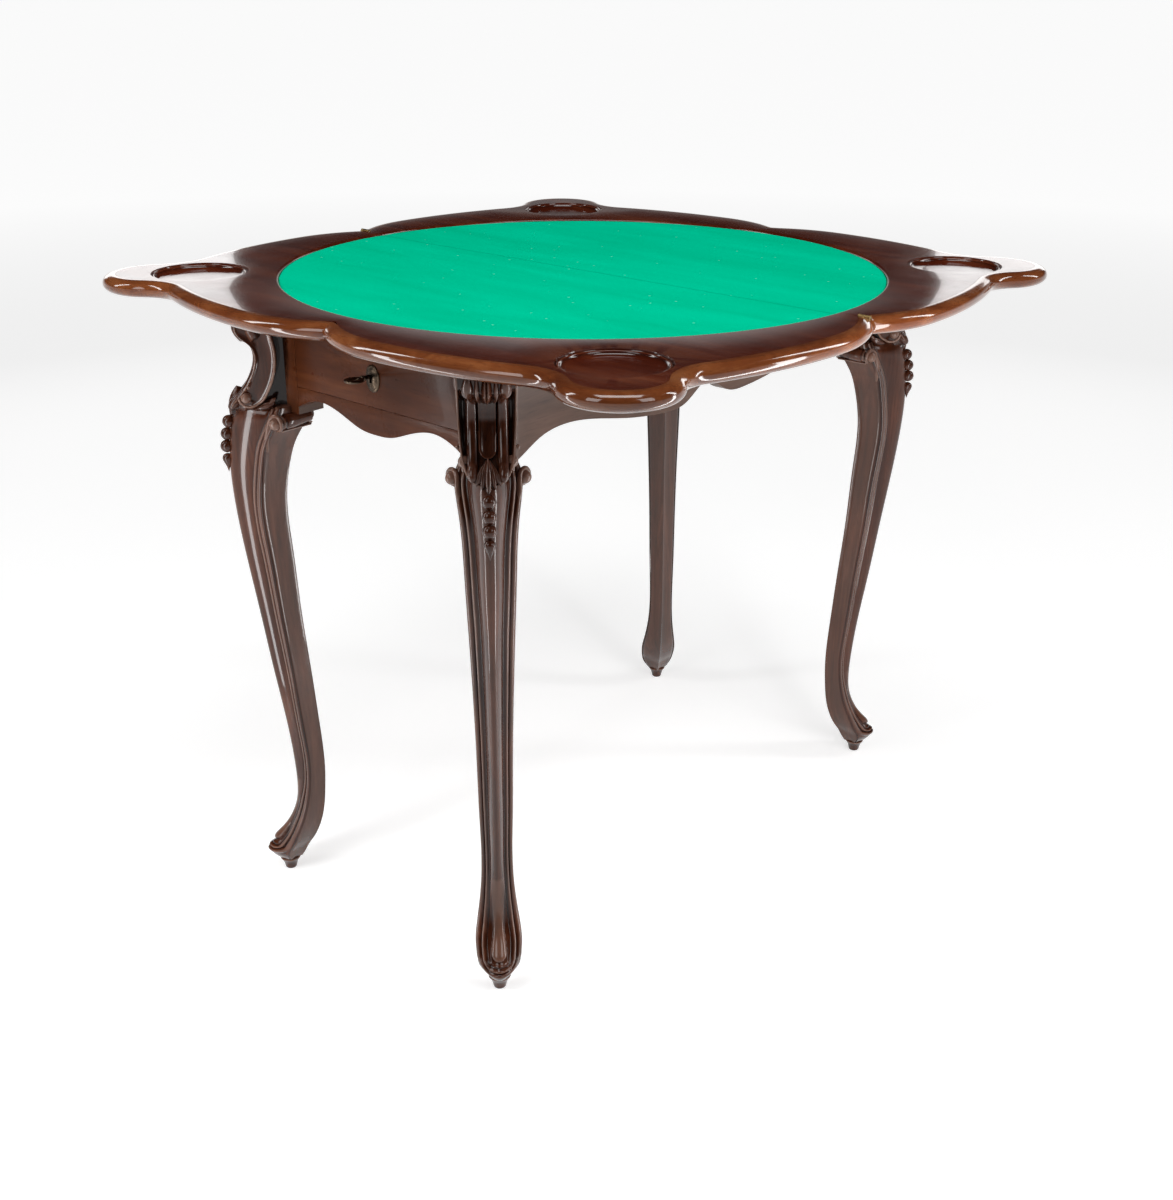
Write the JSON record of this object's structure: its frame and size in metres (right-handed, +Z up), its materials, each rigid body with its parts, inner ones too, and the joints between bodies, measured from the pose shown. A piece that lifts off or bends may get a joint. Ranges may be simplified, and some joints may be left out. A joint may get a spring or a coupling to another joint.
{
  "type": "games table",
  "caption": "Square games table with lobed corners, a cloth-lined top that swivels and folds in half, dished wells, curved legs and a locking end drawer.",
  "frame": {"origin": "on the floor, under the middle of the opened top; the frame's centre stands 10 mm towards +X and 11 mm towards -Y of it", "axes": "+Z up; +X along the frame's long side, away from the drawer; -Y towards the front long side"},
  "size_m": [0.882, 0.882, 0.7621],
  "materials": {
    "polished_mahogany": "glossy dark red-brown polish",
    "polished_top": "glossy deep red-brown polish",
    "polished_moulding": "glossy orange-brown polish",
    "cloth": "matte short-napped green baize",
    "plain_hardwood": "unpolished, darkened with age",
    "brass": "aged satin brass",
    "dark_brass": "dark bronzed, worn bright on edges",
    "steel": "dull grey steel"
  },
  "bodies": {
    "frame": {"front_left_leg": "polished_mahogany", "front_right_leg": "polished_mahogany", "back_left_leg": "polished_mahogany", "back_right_leg": "polished_mahogany", "front_left_console": "polished_mahogany", "front_right_console": "polished_mahogany", "back_left_console": "polished_mahogany", "back_right_console": "polished_mahogany", "front_frieze": "polished_mahogany", "back_frieze": "polished_mahogany", "far_end_frieze": "polished_mahogany", "drawer_apron": "polished_mahogany", "drawer_top_rail": "polished_mahogany", "drawer_inner_rail": "plain_hardwood", "swivel_bearer": "plain_hardwood", "cross_bearer": "plain_hardwood", "glue_blocks": "plain_hardwood", "pivot_bush": "brass", "strike_plate": "brass", "front_drawer_runner": "plain_hardwood", "back_drawer_runner": "plain_hardwood", "front_drawer_guide": "plain_hardwood", "back_drawer_guide": "plain_hardwood"},
    "lower_leaf": {"lower_leaf_panel": "polished_top", "lower_leaf_moulding": "polished_moulding", "lower_leaf_cloth": "cloth", "front_hinge_lower_plate": "brass", "back_hinge_lower_plate": "brass", "lower_hinge_screws": "brass", "front_hinge_pin": "steel", "back_hinge_pin": "steel", "leaf_tongues": "plain_hardwood", "pivot_stud": "steel", "pivot_screws": "steel", "pivot_washer": "steel", "pivot_nut": "steel", "stop_peg": "plain_hardwood"},
    "upper_leaf": {"upper_leaf_panel": "polished_top", "upper_leaf_moulding": "polished_moulding", "upper_leaf_cloth": "cloth", "front_hinge_upper_plate": "brass", "back_hinge_upper_plate": "brass", "upper_hinge_screws": "brass"},
    "drawer": {"drawer_front": "polished_mahogany", "drawer_front_side": "plain_hardwood", "drawer_back_side": "plain_hardwood", "drawer_end": "plain_hardwood", "drawer_bottom": "plain_hardwood", "lock_case": "steel", "lock_cap": "steel", "lock_screws": "brass", "escutcheon": "dark_brass"},
    "key": {"key": "dark_brass"},
    "lock_bolt": {"lock_bolt": "steel"}
  },
  "joints": [
    {"name": "top_swivel", "type": "hinge", "parent": "frame", "child": "lower_leaf", "pos_m": [-0.09975, 0.10975, 0.7347], "axis": [0, 0, 1], "range_deg": [0, 90]},
    {"name": "leaf_fold", "type": "hinge", "parent": "lower_leaf", "child": "upper_leaf", "pos_m": [0, 0, 0.76015], "axis": [0, -1, 0], "range_deg": [0, 180]},
    {"name": "drawer_slide", "type": "slide", "parent": "frame", "child": "drawer", "axis": [-1, 0, 0], "range_m": [0, 0.25]},
    {"name": "key_turn", "type": "hinge", "parent": "drawer", "child": "key", "pos_m": [-0.357, -0.011, 0.696], "axis": [1, 0, 0], "range_deg": [0, 90]},
    {"name": "lock_bolt_slide", "type": "slide", "parent": "drawer", "child": "lock_bolt", "axis": [0, 0, 1], "range_m": [0, 0.007]}
  ],
  "couplings": [
    {"joint": "key_turn", "follows": "lock_bolt_slide", "rad_per_m": 224.39}
  ]
}
